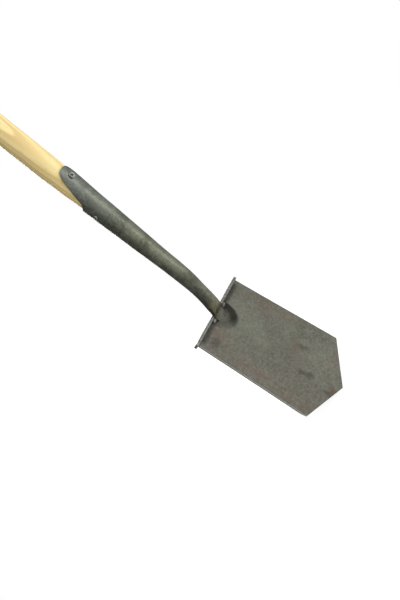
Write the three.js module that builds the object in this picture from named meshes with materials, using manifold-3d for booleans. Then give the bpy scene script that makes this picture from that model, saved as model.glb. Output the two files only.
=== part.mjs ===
// Treaded garden spade with a pointed blade, a long strapped socket and an ash T-handle.
// Millimetres. +Z runs up the shaft, the blade's front faces -Y, and the origin is the
// middle of the grip's crossbar.
import * as THREE from 'three';
import { mergeVertices } from 'three/addons/utils/BufferGeometryUtils.js';
import Module from 'manifold-3d';

const wasm = await Module();
wasm.setup();

// Driving dimensions
const gap = 0.3; // clearance between two pieces that touch
const overallLength = 1040; // tip of the blade to the top of the grip
const bladeLean = THREE.MathUtils.degToRad(11.5); // blade's face to the shaft's axis
const bladeSetback = 18.4; // blade's front face behind the shaft's axis, at the treads
const blade = { topWidth: 145.5, footWidth: 160.4, shoulder: 196.5, length: 234.5, thickness: 3 };
const tread = { thickness: 4.5, front: 3.5, back: 13, reach: 75.6, inner: 15.5, cornerCut: 6 };
// Hollow pressed into the blade, where the neck is welded in
const dish = { halfWidth: 25, reach: 36, depth: 7.5, lift: 3.8 };
const neckBend = { start: 88, radius: 278 }; // height above the treads where it begins
const neckFoot = -31; // how far the neck's nose runs on past the treads
// Where the tube's front stops, and the ridge that its nose goes on in, as y and z of the blade
const lip = { top: 1, topDepth: 14, foot: -6, step: 6, end: -30, endDepth: -5 };
const neckSquash = { from: 45, wider: 0.22, flatter: 0.12 }; // the tube is pressed flatter near the blade
const socketWall = 2.5;
const strapTop = 312; // heights on the socket are above the treads
const boreBottom = 108;
const shaftBottom = 110;
const shaft = { radius: 18.2, topRadius: 17.2, fullFrom: 330, taperFrom: 520 };
const tenon = { radius: 12, top: 10.5, slot: 2.8 };
const wedge = { thick: 2.2, thin: 0.9, width: 20, length: 21 };
const grip = { width: 132, crown: 27.8, endTop: 18.6, under: 14.5, collarDrop: 18.5, round: 5 };
const gripDepth = { middle: 19.5, end: 17.5 }; // half the crossbar's depth, front to back
const strapRivet = { height: 292.5, shank: 2.6, ring: 4.8, proud: 2.4, hole: 1.8, holeDepth: 7 };
const burr = { radius: 7, thickness: 1.4 };
const rivetHead = { radius: 5.2, height: 2.2 };
const sideRivet = { height: 230, shank: 2, headRadius: 3.3, headHeight: 1.9 };
const treadBead = { from: 27, to: 65.6, leg: 4 }; // fillets behind the blade, under each tread
// Bead on the blade's top edge, behind the neck
const neckBead = { halfWidth: 11, rise: 4.5, depth: 4, behind: 7.6 };
const tack = { halfWidth: 4.5, rise: 3.6, depth: 5, out: 18, below: 2, behind: 2 };
const collarFlare = { reach: 0.75, step: 2, curve: [0, 0.02, 0.12, 0.35, 0.7, 1] };
const steel = { worn: 0x9b9c98, scaled: 0x585d54, sheet: 0x76766c, bead: 0x6b675f, bright: 0xa3a59c };
const timber = { shaft: 0xd9b873, grip: 0xe6d79b, wedge: 0xc9a566 };

// Outside of the socket as [height above the treads, radius]
const socketStations = [
  [neckFoot, 3],
  [-28, 5.5],
  [-22, 8],
  [-12, 10],
  [4, 10.6],
  [40, 11.2],
  [75, 12.8],
  [120, 13.8],
  [160, 15.2],
  [200, 16.7],
  [246, 17.9],
  [290, 20.0],
  [strapTop + 8, 20.4],
];

// Edge of the socket's mouth seen from the side, from the strap's top round to the back
const mouthEdge = [
  [-25, strapTop - 1],
  [-20, 310],
  [-18.2, 308],
  [-15.9, 302],
  [-14, 294.5],
  [-11.7, 283],
  [-8, 269.5],
  [-5, 259],
  [-1, 254],
  [8, 250.5],
  [25, 247],
];

const bladeTop = -tread.thickness - gap; // the blade's top edge, under the treads
// How far the treads lie below the middle of the crossbar
const headDrop = overallLength - grip.crown - blade.length * Math.cos(bladeLean);
const alongX = new THREE.Matrix4().makeBasis(
  new THREE.Vector3(0, 1, 0),
  new THREE.Vector3(0, 0, 1),
  new THREE.Vector3(1, 0, 0),
);

// Shape helpers
function points2(pairs) {
  return pairs.map(([across, up]) => new THREE.Vector2(across, up));
}

function extruded(shape, depth) {
  return new THREE.ExtrudeGeometry(shape, { depth, bevelEnabled: false, curveSegments: 6 });
}

// A turned solid about +Z from [radius, height] pairs that start and end on the axis
function turned(profile, sides = 36) {
  return new THREE.LatheGeometry(points2(profile), sides).rotateX(Math.PI / 2);
}

function reshape(geometry, place) {
  const position = geometry.attributes.position;
  for (let i = 0; i < position.count; i += 1) {
    const point = place(new THREE.Vector3().fromBufferAttribute(position, i));
    position.setXYZ(i, point.x, point.y, point.z);
  }
  return geometry;
}

function block(low, high) {
  const size = high.map((value, i) => value - low[i]);
  const middle = high.map((value, i) => (value + low[i]) / 2);
  return new THREE.BoxGeometry(...size).translate(...middle);
}

// Joining and cutting
function toSolid(geometry) {
  const bare = geometry.clone();
  bare.deleteAttribute('normal');
  bare.deleteAttribute('uv');
  const merged = mergeVertices(bare, 1e-4);
  const vertProperties = new Float32Array(merged.attributes.position.array);
  const triVerts = new Uint32Array(merged.index.array);
  return new wasm.Manifold(new wasm.Mesh({ numProp: 3, vertProperties, triVerts }));
}

function toGeometry(solid) {
  const mesh = solid.getMesh();
  const geometry = new THREE.BufferGeometry();
  geometry.setAttribute('position', new THREE.BufferAttribute(mesh.vertProperties, 3));
  geometry.setIndex(new THREE.BufferAttribute(mesh.triVerts, 1));
  geometry.computeVertexNormals();
  return geometry;
}

function cut(geometry, ...cutters) {
  return toGeometry(cutters.reduce((left, cutter) => left.subtract(toSolid(cutter)), toSolid(geometry)));
}

function join(...geometries) {
  return toGeometry(geometries.map(toSolid).reduce((whole, piece) => whole.add(piece)));
}

// Sizes that follow the socket
function socketRadius(height) {
  const next = Math.max(1, socketStations.findIndex(([stop]) => stop >= height));
  const [lowAt, low] = socketStations[next - 1];
  const [highAt, high] = socketStations[next];
  return THREE.MathUtils.mapLinear(height, lowAt, highAt, low, high);
}

function boreRadius(height) {
  return socketRadius(height) - socketWall;
}

function heights(from, to, step) {
  const count = Math.ceil(Math.abs(to - from) / step);
  return Array.from({ length: count + 1 }, (_, i) => THREE.MathUtils.lerp(from, to, i / count));
}

// The groups: head stands at the treads on the shaft's axis, and bladeFrame has x across the
// blade, y up it and z out of its front face
const group = new THREE.Group();
const head = new THREE.Group();
head.position.z = -headDrop;
const bladeFrame = new THREE.Group();
bladeFrame.position.y = bladeSetback;
bladeFrame.rotation.x = Math.PI / 2 - bladeLean;
bladeFrame.updateMatrix();
head.add(bladeFrame);
group.add(head);

// A shape from the head's frame, seen from the blade's
function inBlade(geometry) {
  return geometry.applyMatrix4(bladeFrame.matrix.clone().invert());
}

function addPiece(parent, name, geometry, color, roughness, metalness) {
  const material = new THREE.MeshStandardMaterial({ color, roughness, metalness });
  const mesh = new THREE.Mesh(geometry, material);
  mesh.name = name;
  parent.add(mesh);
}

// Ellipsoid whose lowest cap is the dish's hollow, grown by a skin all round
function dishCap(skin) {
  const deep = dish.lift + dish.depth;
  const spread = 1 / Math.sqrt(1 - (dish.lift / deep) ** 2);
  const cap = new THREE.SphereGeometry(1, 60, 44);
  cap.scale(dish.halfWidth * spread + skin, dish.reach * spread + skin, deep + skin);
  return cap.translate(0, bladeTop, dish.lift);
}

// Blade: a flat flared plate with a pointed foot, hung under the treads and dished below the neck
function makeBlade() {
  const top = blade.topWidth / 2;
  const foot = blade.footWidth / 2;
  const outline = new THREE.Shape(
    points2([
      [-top, bladeTop],
      [-foot, -blade.shoulder],
      [0, -blade.length],
      [foot, -blade.shoulder],
      [top, bladeTop],
    ]),
  );
  const plate = extruded(outline, blade.thickness).translate(0, 0, -blade.thickness);
  const inFront = block([-80, -80, -blade.thickness / 2], [80, 80, 80]);
  const overEdge = block([-80, bladeTop, -80], [80, 80, 80]);
  const bulge = cut(dishCap(blade.thickness), inFront, overEdge);
  return cut(join(plate, bulge), dishCap(0));
}

// Everything that the blade takes up near the neck, with clearance
function bladeRoom() {
  const behindFace = block([-60, -80, -40], [60, bladeTop + gap, gap]);
  return cut(behindFace, dishCap(-gap));
}

// Treads: flat bars along the blade's top edge, a little proud in front and further behind
function makeTread(side) {
  const bar = new THREE.Shape(
    points2([
      [side * tread.inner, tread.front],
      [side * tread.reach, tread.front],
      [side * tread.reach, tread.cornerCut - tread.back],
      [side * (tread.reach - tread.cornerCut), -tread.back],
      [side * tread.inner, -tread.back],
    ]),
  );
  return extruded(bar, tread.thickness).rotateX(Math.PI / 2);
}

// Fillet weld between a tread's underside and the blade's back face
function makeTreadWeld(side) {
  const { from, to, leg } = treadBead;
  const bead = new THREE.Shape();
  bead.moveTo(0, 0);
  bead.lineTo(-leg, 0);
  bead.quadraticCurveTo(-leg * 0.7, -leg * 0.7, 0, -leg);
  const start = side > 0 ? from : -to;
  return extruded(bead, to - from).applyMatrix4(alongX).translate(start, bladeTop, -blade.thickness - gap);
}

// Bead on the blade's top edge, behind the neck
function makeNeckWeld() {
  const bead = new THREE.SphereGeometry(1, 24, 14).scale(neckBead.halfWidth, neckBead.rise, neckBead.depth);
  bead.translate(0, bladeTop + gap, -neckBead.behind);
  const underEdge = block([-40, -40, -40], [40, bladeTop + gap, 40]);
  return cut(bead, underEdge, inBlade(neckForm(gap)));
}

// Tack weld in the corner between a tread's inner end, the neck and the blade's dish
function makeTack(side) {
  const blob = new THREE.SphereGeometry(1, 18, 12).scale(tack.halfWidth, tack.rise, tack.depth);
  blob.translate(side * tack.out, bladeTop - tack.below, -tack.behind);
  const overTread = block([-40, bladeTop, -20], [40, 20, 20]);
  return cut(blob, overTread, bladeRoom(), inBlade(neckForm(gap)));
}

// Outside of the tube and, in the socket itself, its bore: bent back and squashed at the neck
function neckForm(skin, inside = [[0, strapTop + 8]]) {
  const nose = [neckFoot, -28, -22, -17, -12, -5];
  const upper = [120, 160, 200, 246, 268, 290, strapTop + 8];
  const outside = [...nose, ...heights(4, neckBend.start, 9), ...upper];
  const tube = turned([
    [0, neckFoot - skin],
    ...outside.map((height) => [socketRadius(height) + skin, height]),
    ...inside,
  ]);
  return reshape(tube, (point) => {
    const pressed = THREE.MathUtils.smoothstep(neckSquash.from - point.z, 0, neckSquash.from);
    const across = point.x * (1 + neckSquash.wider * pressed);
    const depth = point.y * (1 - neckSquash.flatter * pressed);
    const turn = Math.max(0, neckBend.start - point.z) / neckBend.radius;
    if (turn === 0) return new THREE.Vector3(across, depth, point.z);
    const middle = neckBend.radius * (1 - Math.cos(turn));
    const level = neckBend.start - neckBend.radius * Math.sin(turn);
    return new THREE.Vector3(across, middle + depth * Math.cos(turn), level + depth * Math.sin(turn));
  });
}

// Room in front of the neck's lip and of the nose's sloping ridge
function lipRoom() {
  const side = new THREE.Shape(
    points2([
      [lip.top, 30],
      [lip.top, lip.topDepth],
      [lip.foot, lip.step],
      [lip.end, lip.endDepth],
      [-60, lip.endDepth],
      [-60, 30],
    ]),
  );
  return extruded(side, 80).applyMatrix4(alongX).translate(-40, 0, 0);
}

// Socket: bored tube with a front strap, its lower end nosed into the blade's dish
function makeSocket() {
  const inside = [strapTop + 8, 290, 268, 246, 200, 160, 120, boreBottom];
  const tube = neckForm(0, [...inside.map((height) => [boreRadius(height), height]), [0, boreBottom]]);
  const mouth = new THREE.Shape([
    ...new THREE.SplineCurve(points2(mouthEdge)).getPoints(24),
    ...points2([
      [25, strapTop + 20],
      [-25, strapTop + 20],
    ]),
  ]);
  return cut(
    tube,
    extruded(mouth, 60).applyMatrix4(alongX).translate(-30, 0, 0),
    bladeRoom().applyMatrix4(bladeFrame.matrix),
    lipRoom().applyMatrix4(bladeFrame.matrix),
    rivetHole(strapRivet.shank + gap, strapRivet.height, false),
    rivetHole(sideRivet.shank + gap, sideRivet.height, true),
  );
}

// A hole through the socket and shaft, from side to side or from front to back
function rivetHole(radius, height, sideways) {
  const hole = new THREE.CylinderGeometry(radius, radius, 80, 16);
  if (sideways) hole.rotateZ(Math.PI / 2);
  return hole.translate(0, 0, height);
}

// Shaft: ash, tapered into the socket, slimmer towards the grip, with a slotted tenon on top
function makeShaft() {
  const treadsAt = -headDrop;
  const shoulder = -grip.collarDrop - gap;
  const lower = [shaftBottom, 120, 160, 200, 246, 268, 290].map((height) => [
    boreRadius(height) - gap,
    treadsAt + height,
  ]);
  const body = turned([
    [0, treadsAt + shaftBottom],
    ...lower,
    [shaft.radius, treadsAt + shaft.fullFrom],
    [shaft.radius, treadsAt + shaft.taperFrom],
    [shaft.topRadius, shoulder],
    [tenon.radius, shoulder],
    [tenon.radius, tenon.top],
    [0, tenon.top],
  ]);
  const slotFloor = tenon.top - wedge.length - 1;
  const slot = block([-tenon.slot / 2, -20, slotFloor], [tenon.slot / 2, 20, tenon.top + 1]);
  return cut(
    body,
    slot,
    rivetHole(strapRivet.shank + gap, treadsAt + strapRivet.height, false),
    rivetHole(sideRivet.shank + gap, treadsAt + sideRivet.height, true),
  );
}

// Blind wedge that spreads the tenon inside the grip
function makeWedge() {
  const top = tenon.top - gap;
  const side = new THREE.Shape(
    points2([
      [-wedge.thin / 2, top - wedge.length],
      [wedge.thin / 2, top - wedge.length],
      [wedge.thick / 2, top],
      [-wedge.thick / 2, top],
    ]),
  );
  return extruded(side, wedge.width).rotateX(Math.PI / 2).translate(0, wedge.width / 2, 0);
}

// Grip: arched crossbar with rounded ends, run into a collar the width of the shaft
function makeGrip() {
  const half = grip.width / 2;
  const bar = new THREE.CylinderGeometry(1, 1, grip.width, 36, 22).rotateZ(Math.PI / 2);
  reshape(bar, (point) => {
    const along = Math.abs(point.x) / half;
    const top = THREE.MathUtils.lerp(grip.crown, grip.endTop, along ** 2);
    const bottom = -THREE.MathUtils.lerp(grip.under, grip.endTop, along ** 3);
    const depth = THREE.MathUtils.lerp(gripDepth.middle, gripDepth.end, along ** 2);
    const past = Math.max(0, Math.abs(point.x) - half + grip.round) / grip.round;
    const inset = grip.round * (1 - Math.sqrt(Math.max(0, 1 - past ** 2)));
    const height = (top - bottom) / 2;
    return new THREE.Vector3(
      point.x,
      point.y * (depth - inset),
      (top + bottom) / 2 + point.z * (height - inset),
    );
  });
  const { reach, step, curve } = collarFlare;
  const collar = turned([
    [0, -grip.collarDrop],
    ...curve.map((_, i) => [shaft.topRadius, -grip.collarDrop + i * step]),
    [shaft.topRadius, grip.endTop - 4],
    [0, grip.endTop - 4],
  ]);
  reshape(collar, (point) => {
    const stop = Math.min(curve.length - 1, Math.round((point.z + grip.collarDrop) / step));
    return point.setX(point.x * (1 + reach * curve[stop]));
  });
  const mortise = new THREE.CylinderGeometry(tenon.radius + gap, tenon.radius + gap, 60, 32);
  mortise.rotateX(Math.PI / 2).translate(0, 0, tenon.top + gap - 30);
  return cut(join(bar, collar), mortise);
}

// Strap rivet: tubular, rolled over a hole in front and domed behind, turned about its own axis
function makeStrapRivet() {
  const front = socketRadius(strapRivet.height) + gap;
  const back = boreRadius(strapRivet.height) + burr.thickness + gap;
  const dome = [0, 0.35, 0.65, 0.9, 1].map((part) => [
    rivetHead.radius * Math.cos((part * Math.PI) / 2),
    -back - rivetHead.height * Math.sin((part * Math.PI) / 2),
  ]);
  const geometry = turned(
    [
      ...dome.reverse().map(([radius, height]) => [Math.max(0, radius), height]),
      [strapRivet.shank, -back],
      [strapRivet.shank, front],
      [strapRivet.ring, front],
      [strapRivet.ring + 0.3, front + strapRivet.proud * 0.45],
      [strapRivet.ring - 0.6, front + strapRivet.proud * 0.9],
      [strapRivet.hole + 0.9, front + strapRivet.proud],
      [strapRivet.hole, front + strapRivet.proud * 0.7],
      [strapRivet.hole, front + strapRivet.proud - strapRivet.holeDepth],
      [0, front + strapRivet.proud - strapRivet.holeDepth],
    ],
    24,
  );
  return geometry.rotateX(Math.PI / 2).translate(0, 0, strapRivet.height);
}

// Burr: the washer that carries the rivet's domed head on the back of the shaft
function makeBurr() {
  const inner = strapRivet.shank + gap;
  const face = boreRadius(strapRivet.height);
  const ring = new THREE.LatheGeometry(
    points2([
      [inner, face],
      [burr.radius, face],
      [burr.radius - 0.4, face + burr.thickness],
      [inner, face + burr.thickness],
      [inner, face],
    ]),
    24,
  );
  return ring.translate(0, 0, strapRivet.height);
}

// Side rivet: solid, through the socket and shaft, with a low dome on each side
function makeSideRivet() {
  const seat = socketRadius(sideRivet.height) + gap;
  const arc = [0, 0.4, 0.75, 1].map((part) => (part * Math.PI) / 2);
  const { headRadius, headHeight } = sideRivet;
  const dome = arc.map((turn) => [headRadius * Math.cos(turn), headHeight * Math.sin(turn)]);
  const onAxis = ([radius, rise]) => [radius < 1e-6 ? 0 : radius, rise];
  const right = dome.map(onAxis).map(([radius, rise]) => [radius, seat + rise]);
  const left = right.map(([radius, height]) => [radius, -height]).reverse();
  const profile = [...left, [sideRivet.shank, -seat], [sideRivet.shank, seat], ...right];
  return turned(profile, 20).rotateY(Math.PI / 2).translate(0, 0, sideRivet.height);
}

addPiece(bladeFrame, 'blade', makeBlade(), steel.sheet, 0.5, 0.85);
for (const [name, side] of [['left', -1], ['right', 1]]) {
  addPiece(bladeFrame, `${name}_tread`, makeTread(side), steel.worn, 0.4, 0.85);
  addPiece(bladeFrame, `${name}_tread_weld`, makeTreadWeld(side), steel.bead, 0.6, 0.8);
  addPiece(bladeFrame, `${name}_tack_weld`, makeTack(side), steel.worn, 0.45, 0.85);
}
addPiece(bladeFrame, 'neck_weld', makeNeckWeld(), steel.bead, 0.6, 0.8);
addPiece(head, 'socket', makeSocket(), steel.scaled, 0.6, 0.7);
addPiece(head, 'strap_rivet', makeStrapRivet(), steel.bright, 0.35, 0.9);
addPiece(head, 'rivet_burr', makeBurr(), steel.bright, 0.35, 0.9);
addPiece(head, 'side_rivet', makeSideRivet(), steel.bright, 0.35, 0.9);
addPiece(group, 'shaft', makeShaft(), timber.shaft, 0.55, 0);
addPiece(group, 'grip', makeGrip(), timber.grip, 0.55, 0);
addPiece(group, 'tenon_wedge', makeWedge(), timber.wedge, 0.6, 0);

export default group;
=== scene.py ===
# A treaded garden spade: pointed steel blade, long strapped socket, ash shaft and T-grip.
# Everything is in metres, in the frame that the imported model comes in: +Z up the shaft, the
# blade's front towards -Y, and the origin in the middle of the grip's crossbar.
import bpy
import bmesh
from math import cos, pi, radians, sin, sqrt
from mathutils import Matrix, Vector, noise


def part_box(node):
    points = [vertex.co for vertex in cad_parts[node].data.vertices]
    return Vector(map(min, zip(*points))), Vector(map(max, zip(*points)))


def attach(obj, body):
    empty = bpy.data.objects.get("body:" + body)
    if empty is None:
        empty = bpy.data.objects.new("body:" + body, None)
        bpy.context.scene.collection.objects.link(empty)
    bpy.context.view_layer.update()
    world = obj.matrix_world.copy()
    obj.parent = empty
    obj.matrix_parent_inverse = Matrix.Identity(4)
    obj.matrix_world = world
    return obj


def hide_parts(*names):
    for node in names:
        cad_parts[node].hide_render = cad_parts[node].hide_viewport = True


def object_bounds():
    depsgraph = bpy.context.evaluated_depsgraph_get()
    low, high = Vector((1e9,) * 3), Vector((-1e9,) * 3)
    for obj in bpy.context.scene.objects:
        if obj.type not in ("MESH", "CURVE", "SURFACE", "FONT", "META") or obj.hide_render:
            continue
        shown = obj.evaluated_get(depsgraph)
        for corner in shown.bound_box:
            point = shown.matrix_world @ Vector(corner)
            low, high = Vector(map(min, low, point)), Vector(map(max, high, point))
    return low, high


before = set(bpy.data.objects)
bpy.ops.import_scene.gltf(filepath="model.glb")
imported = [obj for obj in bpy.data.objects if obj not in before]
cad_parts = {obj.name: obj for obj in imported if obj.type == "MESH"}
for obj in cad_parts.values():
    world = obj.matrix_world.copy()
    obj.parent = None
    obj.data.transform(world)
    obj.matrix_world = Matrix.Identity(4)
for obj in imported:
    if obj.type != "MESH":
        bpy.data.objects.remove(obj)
cadLow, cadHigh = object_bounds()
scene = bpy.context.scene
mm = 0.001


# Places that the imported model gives
headPlaces = {"bladeLean": radians(11.5), "treadProud": 3.5 * mm, "treadThickness": 4.5 * mm}


def treadPlace():
    low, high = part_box("left_tread")
    lean, proud = headPlaces["bladeLean"], headPlaces["treadProud"]
    level = high.z - proud * sin(lean)
    setback = low.y + headPlaces["treadThickness"] * sin(lean) + proud * cos(lean)
    return level, setback


treadLevel, bladeSetback = treadPlace()


def bladeMatrix():
    # x across the blade, y up it, z out of its front face
    lean = headPlaces["bladeLean"]
    turn = Matrix.Rotation(pi / 2 - lean, 4, "X")
    return Matrix.Translation((0, bladeSetback, treadLevel)) @ turn


# Camera, light and floor
cameraView = {
    "heading": 37.05,      # from +Y towards +X, degrees
    "dip": 10.55,          # below level, degrees
    "roll": 51.68,         # clockwise lean of the camera's up, degrees
    "fromTreads": (-0.5717, -0.7346, 0.2050),
    "lens": 37.2,
}


def makeCamera():
    heading, dip, roll = (radians(cameraView[key]) for key in ("heading", "dip", "roll"))
    forward = Vector((sin(heading) * cos(dip), cos(heading) * cos(dip), -sin(dip)))
    level = forward.cross(Vector((0, 0, 1))).normalized()
    upright = level.cross(forward)
    up = upright * cos(roll) + level * sin(roll)
    right = forward.cross(up)
    camera = bpy.data.objects.new("camera", bpy.data.cameras.new("camera"))
    camera.data.lens = cameraView["lens"]
    camera.data.sensor_width = 36
    camera.data.clip_start = 0.01
    turn = Matrix((right, up, -forward)).transposed().to_4x4()
    place = Vector(cameraView["fromTreads"]) + Vector((0, 0, treadLevel))
    camera.matrix_world = Matrix.Translation(place) @ turn
    scene.collection.objects.link(camera)
    scene.camera = camera


lighting = {
    # the room is bright in front of the spade and dim behind it
    "litSide": (0.26, -0.97, 0.1), "dimFrom": -0.4, "litFrom": 1.0, "dim": 0.14, "lit": 1.02,
    "key": {"at": (0.20, -0.95, 0.7), "size": 0.9, "power": 6.5, "colour": (1.0, 0.99, 0.96)},
    "side": {"at": (0.35, -1.5, -0.6), "size": 0.8, "power": 3, "colour": (1.0, 1.0, 0.98)},
    "rim": {"at": (0.55, 1.15, -0.35), "size": 0.8, "power": 9, "colour": (0.97, 0.98, 1.0)},
    "aim": (0.0, 0.0, -0.8),
    "floorDrop": 0.002,
    "floorRadius": 1.5,
    "floorGlow": 0.6,
}


def makeLights():
    for name in ("key", "side", "rim"):
        values = lighting[name]
        data = bpy.data.lights.new(name, "AREA")
        data.shape = "DISK"
        data.size = values["size"]
        data.energy = values["power"]
        data.color = values["colour"]
        lamp = bpy.data.objects.new(name, data)
        lamp.location = values["at"]
        aim = Vector(lighting["aim"]) - lamp.location
        lamp.rotation_mode = "QUATERNION"
        lamp.rotation_quaternion = aim.to_track_quat("-Z", "Y")
        scene.collection.objects.link(lamp)


def makeWorld():
    world = bpy.data.worlds.new("studio")
    world.use_nodes = True
    nodes, links = world.node_tree.nodes, world.node_tree.links
    nodes.clear()
    seen = nodes.new("ShaderNodeBackground")
    seen.inputs["Color"].default_value = (1, 1, 1, 1)
    fill = nodes.new("ShaderNodeBackground")
    fill.inputs["Color"].default_value = (1, 1, 1, 1)
    direction = nodes.new("ShaderNodeTexCoord")
    facing = nodes.new("ShaderNodeVectorMath")
    facing.operation = "DOT_PRODUCT"
    facing.inputs[1].default_value = Vector(lighting["litSide"]).normalized()
    falloff = nodes.new("ShaderNodeMapRange")
    falloff.inputs["From Min"].default_value = lighting["dimFrom"]
    falloff.inputs["From Max"].default_value = lighting["litFrom"]
    falloff.inputs["To Min"].default_value = lighting["dim"]
    falloff.inputs["To Max"].default_value = lighting["lit"]
    links.new(direction.outputs["Generated"], facing.inputs[0])
    links.new(facing.outputs["Value"], falloff.inputs["Value"])
    links.new(falloff.outputs[0], fill.inputs["Strength"])
    ray = nodes.new("ShaderNodeLightPath")
    mix = nodes.new("ShaderNodeMixShader")
    out = nodes.new("ShaderNodeOutputWorld")
    links.new(ray.outputs["Is Camera Ray"], mix.inputs[0])
    links.new(fill.outputs[0], mix.inputs[1])
    links.new(seen.outputs[0], mix.inputs[2])
    links.new(mix.outputs[0], out.inputs["Surface"])
    scene.world = world
    scene.view_settings.view_transform = "Standard"


# Shader helpers
class Wire:
    # a material's socket, so that shader maths reads as arithmetic
    def __init__(self, shade, socket):
        self.shade, self.socket = shade, socket

    def maths(self, operation, *values):
        return self.shade.add("ShaderNodeMath", {"operation": operation}, dict(enumerate(values)))

    def __add__(self, other):
        return self.maths("ADD", self, other)

    def __sub__(self, other):
        return self.maths("SUBTRACT", self, other)

    def __mul__(self, other):
        return self.maths("MULTIPLY", self, other)

    def __truediv__(self, other):
        return self.maths("DIVIDE", self, other)

    def __rsub__(self, other):
        return self.maths("SUBTRACT", other, self)

    __radd__ = __add__
    __rmul__ = __mul__

    def absolute(self):
        return self.maths("ABSOLUTE", self)

    def fraction(self):
        return self.maths("FRACT", self)

    def root(self):
        return self.maths("SQRT", self)

    def larger(self, other):
        return self.maths("MAXIMUM", self, other)

    def rise(self, start, end):
        # 0 before start and 1 after end, smooth between; start may be the larger
        if start > end:
            return 1 - self.rise(end, start)
        ends = {"Value": self, "From Min": start, "From Max": end}
        return self.shade.add("ShaderNodeMapRange", {"interpolation_type": "SMOOTHSTEP"}, ends)


class Shade:
    # a material being built; add() is the only way in for a node
    def __init__(self, name):
        self.material = bpy.data.materials.new(name)
        self.material.use_nodes = True
        self.tree = self.material.node_tree
        self.surface = self.tree.nodes["Principled BSDF"]
        place = self.add("ShaderNodeTexCoord", output="Object")
        self.place = place
        split = self.add("ShaderNodeSeparateXYZ", inputs={0: place}, output=None)
        self.x, self.y, self.z = (Wire(self, split.outputs[i]) for i in range(3))

    def add(self, kind, settings=None, inputs=None, output=0):
        node = self.tree.nodes.new(kind)
        for name, value in (settings or {}).items():
            setattr(node, name, value)
        for name, value in (inputs or {}).items():
            if isinstance(value, Wire):
                self.tree.links.new(value.socket, node.inputs[name])
            else:
                node.inputs[name].default_value = value
        return node if output is None else Wire(self, node.outputs[output])

    def stretched(self, scale, shift=(0, 0, 0), turn=(0, 0, 0), at=None):
        values = {"Vector": at or self.place, "Scale": scale, "Rotation": turn, "Location": shift}
        return self.add("ShaderNodeMapping", {"vector_type": "POINT"}, values)

    def cloud(self, scale, detail=3.0, roughness=0.5, at=None, distortion=0.0):
        values = {"Vector": at or self.place, "Scale": scale, "Detail": detail}
        values.update({"Roughness": roughness, "Distortion": distortion})
        return self.add("ShaderNodeTexNoise", {"noise_dimensions": "3D"}, values)

    def cells(self, scale):
        values = {"Vector": self.place, "Scale": scale}
        return self.add("ShaderNodeTexVoronoi", {"feature": "F1"}, values, "Distance")

    def mix(self, amount, first, second):
        settings = {"data_type": "RGBA", "blend_type": "MIX"}
        first, second = ((*c, 1) if isinstance(c, tuple) else c for c in (first, second))
        return self.add("ShaderNodeMix", settings, {0: amount, 6: first, 7: second}, 2)

    def bump(self, height, distance, strength=1.0, under=None):
        values = {"Height": height, "Distance": distance, "Strength": strength}
        if under is not None:
            values["Normal"] = under
        return self.add("ShaderNodeBump", None, values)

    def finish(self, **sockets):
        names = {"colour": "Base Color", "roughness": "Roughness", "metallic": "Metallic",
                 "normal": "Normal", "alpha": "Alpha", "specular": "Specular IOR Level"}
        for key, value in sockets.items():
            target = self.surface.inputs[names[key]]
            if isinstance(value, Wire):
                self.tree.links.new(value.socket, target)
            else:
                target.default_value = (*value, 1) if isinstance(value, tuple) else value
        return self.material


def makeFloor():
    # a pale disc that fades out into the white studio
    mesh = bmesh.new()
    bmesh.ops.create_circle(mesh, cap_ends=True, segments=96, radius=lighting["floorRadius"])
    bmesh.ops.translate(mesh, vec=(0, 0, cadLow.z - lighting["floorDrop"]), verts=mesh.verts)
    s = Shade("studio_floor")
    out = (s.x * s.x + s.y * s.y).root()
    s.finish(colour=(0.88, 0.88, 0.88), roughness=0.9, specular=0.1,
             alpha=out.rise(lighting["floorRadius"] * 0.95, lighting["floorRadius"] * 0.15))
    s.surface.inputs["Emission Color"].default_value = (1, 1, 1, 1)
    s.surface.inputs["Emission Strength"].default_value = lighting["floorGlow"]
    toObject("studio_floor", mesh, s.material)


# Mesh helpers
def toObject(name, mesh, material, smoothAngle=35):
    # closes a bmesh off as an object at the origin, smooth except over sharp edges
    data = bpy.data.meshes.new(name)
    mesh.to_mesh(data)
    mesh.free()
    for polygon in data.polygons:
        polygon.use_smooth = True
    data.set_sharp_from_angle(angle=radians(smoothAngle))
    data.materials.append(material)
    piece = bpy.data.objects.new(name, data)
    scene.collection.objects.link(piece)
    return piece


def settle(piece, slotName, *nodes):
    # every piece rides on the one body, and stands for its CAD nodes
    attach(piece, "root")
    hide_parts(*nodes)


def closeUp(mesh, distance=0.00002):
    bmesh.ops.remove_doubles(mesh, verts=mesh.verts, dist=distance)
    bmesh.ops.recalc_face_normals(mesh, faces=mesh.faces)


def turned(profile, steps, axis="Z"):
    # a solid of revolution from [radius, height] pairs that start and end on the axis
    mesh = bmesh.new()
    ring = [mesh.verts.new((radius, 0, height)) for radius, height in profile]
    edges = [mesh.edges.new(pair) for pair in zip(ring, ring[1:])]
    bmesh.ops.spin(mesh, geom=ring + edges, cent=(0, 0, 0), axis=(0, 0, 1), dvec=(0, 0, 0),
                   angle=2 * pi, steps=steps, use_merge=True, use_duplicate=False)
    closeUp(mesh)
    # heights run out along +X or towards -Y when the axis is one of those
    turns = {"X": Matrix.Rotation(pi / 2, 4, "Y"), "Y": Matrix.Rotation(pi / 2, 4, "X"),
             "Z": Matrix.Identity(4)}
    bmesh.ops.transform(mesh, matrix=turns[axis], verts=mesh.verts)
    return mesh


def reshape(mesh, place):
    for vert in mesh.verts:
        vert.co = place(vert.co.copy())


def ontoBlade(mesh, shift=(0, 0, 0)):
    # from millimetres across, up and out of the blade to the blade's place
    matrix = bladeMatrix() @ Matrix.Scale(mm, 4) @ Matrix.Translation(shift)
    bmesh.ops.transform(mesh, matrix=matrix, verts=mesh.verts)


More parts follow.
